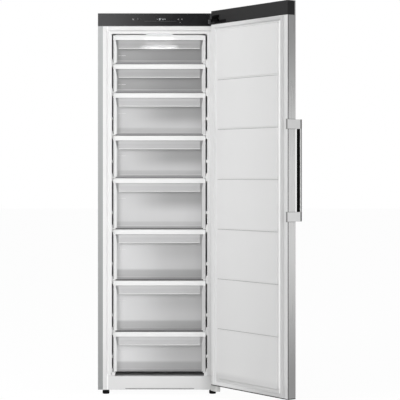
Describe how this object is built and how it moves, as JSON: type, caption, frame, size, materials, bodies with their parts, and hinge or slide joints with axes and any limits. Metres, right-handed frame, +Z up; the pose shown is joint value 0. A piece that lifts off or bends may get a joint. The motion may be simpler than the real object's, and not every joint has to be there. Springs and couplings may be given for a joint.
{
  "type": "upright freezer",
  "caption": "Tall upright freezer with a hinged door standing open, translucent pull-out drawers behind it, a bar handle and a black control strip over the opening.",
  "frame": {"origin": "on the floor under the middle of the cabinet's front flange", "axes": "+Z up, +Y to the back of the cabinet, +X to the right seen from the front, where the door is hinged"},
  "size_m": [0.9593, 1.1214, 1.858],
  "materials": {
    "steel_grey": "fine satin, brushed look",
    "flange_grey": "satin",
    "galvanised": "dull spangled",
    "white_liner": "smooth, low gloss",
    "white_frame": "smooth, low gloss",
    "clear_drawer": "translucent, frosted",
    "black_housing": "fine matt",
    "black_window": "high gloss",
    "circuit_board": "satin lacquer",
    "lens": "frosted",
    "gasket_rubber": "soft matt",
    "black_rubber": "matt",
    "black_plastic": "matt",
    "foam": "cellular matt",
    "copper": "bright drawn",
    "aluminium": "mill finish",
    "shell_black": "semi-gloss paint",
    "arm_black": "satin black paint",
    "zinc_steel": "zinc plated",
    "handle_metal": "satin anodised",
    "acetal": "satin"
  },
  "bodies": {
    "cabinet": {"outer_wrapper": "flange_grey", "back_panel": "galvanised", "base_tray": "galvanised", "inner_liner": "white_liner", "cabinet_foam": "foam", "bay_sheet": "galvanised", "control_housing": "black_housing", "control_glass": "black_window", "control_board": "circuit_board", "top_hinge_arm": "arm_black", "hinge_cover": "black_housing", "bottom_hinge_bracket": "zinc_steel", "hinge_screws": "zinc_steel", "roller_brackets": "galvanised", "compressor": "shell_black", "compressor_mounts": "black_rubber", "relay_box": "black_plastic", "condenser_tube": "zinc_steel", "filter_drier": "copper", "bay_pipes": "copper", "evaporator": "aluminium", "evaporator_cover": "white_liner", "fan_motor": "black_plastic", "defrost_heater": "aluminium", "drain_tube": "black_plastic", "drip_tray": "black_plastic", "lamp_board": "circuit_board", "lamp_lens": "lens", "mains_inlet": "black_plastic"},
    "door": {"door_skin": "steel_grey", "door_liner": "white_liner", "door_foam": "foam", "door_gasket": "gasket_rubber", "door_top_cap": "black_plastic", "door_bottom_cap": "black_plastic", "handle_bar": "handle_metal", "handle_brackets": "handle_metal", "door_bushes": "acetal"},
    "left_foot": {"left_foot": "black_plastic"},
    "right_foot": {"right_foot": "black_plastic"},
    "left_roller": {"left_roller": "black_plastic"},
    "right_roller": {"right_roller": "black_plastic"},
    "evaporator_fan": {"fan_blade": "black_plastic"},
    "drawer_1": {"drawer_box_1": "clear_drawer", "drawer_front_1": "white_frame"},
    "drawer_2": {"drawer_box_2": "clear_drawer", "drawer_front_2": "white_frame"},
    "drawer_3": {"drawer_box_3": "clear_drawer", "drawer_front_3": "white_frame"},
    "drawer_4": {"drawer_box_4": "clear_drawer", "drawer_front_4": "white_frame"},
    "drawer_5": {"drawer_box_5": "clear_drawer", "drawer_front_5": "white_frame"},
    "drawer_6": {"drawer_box_6": "clear_drawer", "drawer_front_6": "white_frame"},
    "drawer_7": {"drawer_box_7": "clear_drawer", "drawer_front_7": "white_frame"},
    "drawer_8": {"drawer_box_8": "clear_drawer", "drawer_front_8": "white_frame"}
  },
  "joints": [
    {"name": "door_hinge", "type": "hinge", "parent": "cabinet", "child": "door", "pos_m": [0.2825, -0.0375, 0], "axis": [0, 0, 1], "range_deg": [-125, 5]},
    {"name": "drawer_1_slide", "type": "slide", "parent": "cabinet", "child": "drawer_1", "axis": [0, -1, 0], "range_m": [0, 0.33]},
    {"name": "drawer_2_slide", "type": "slide", "parent": "cabinet", "child": "drawer_2", "axis": [0, -1, 0], "range_m": [0, 0.33]},
    {"name": "drawer_3_slide", "type": "slide", "parent": "cabinet", "child": "drawer_3", "axis": [0, -1, 0], "range_m": [0, 0.33]},
    {"name": "drawer_4_slide", "type": "slide", "parent": "cabinet", "child": "drawer_4", "axis": [0, -1, 0], "range_m": [0, 0.33]},
    {"name": "drawer_5_slide", "type": "slide", "parent": "cabinet", "child": "drawer_5", "axis": [0, -1, 0], "range_m": [0, 0.33]},
    {"name": "drawer_6_slide", "type": "slide", "parent": "cabinet", "child": "drawer_6", "axis": [0, -1, 0], "range_m": [0, 0.33]},
    {"name": "drawer_7_slide", "type": "slide", "parent": "cabinet", "child": "drawer_7", "axis": [0, -1, 0], "range_m": [0, 0.33]},
    {"name": "drawer_8_slide", "type": "slide", "parent": "cabinet", "child": "drawer_8", "axis": [0, -1, 0], "range_m": [0, 0.24]},
    {"name": "left_foot_turn", "type": "hinge", "parent": "cabinet", "child": "left_foot", "pos_m": [-0.26, 0.028, 0], "axis": [0, 0, 1], "continuous": true},
    {"name": "left_roller_spin", "type": "hinge", "parent": "cabinet", "child": "left_roller", "pos_m": [-0.262, 0.56, 0.01], "axis": [1, 0, 0], "continuous": true},
    {"name": "right_foot_turn", "type": "hinge", "parent": "cabinet", "child": "right_foot", "pos_m": [0.26, 0.028, 0], "axis": [0, 0, 1], "continuous": true},
    {"name": "right_roller_spin", "type": "hinge", "parent": "cabinet", "child": "right_roller", "pos_m": [0.262, 0.56, 0.01], "axis": [1, 0, 0], "continuous": true},
    {"name": "fan_spin", "type": "hinge", "parent": "cabinet", "child": "evaporator_fan", "pos_m": [0, 0.458, 0.76], "axis": [0, 1, 0], "continuous": true}
  ]
}
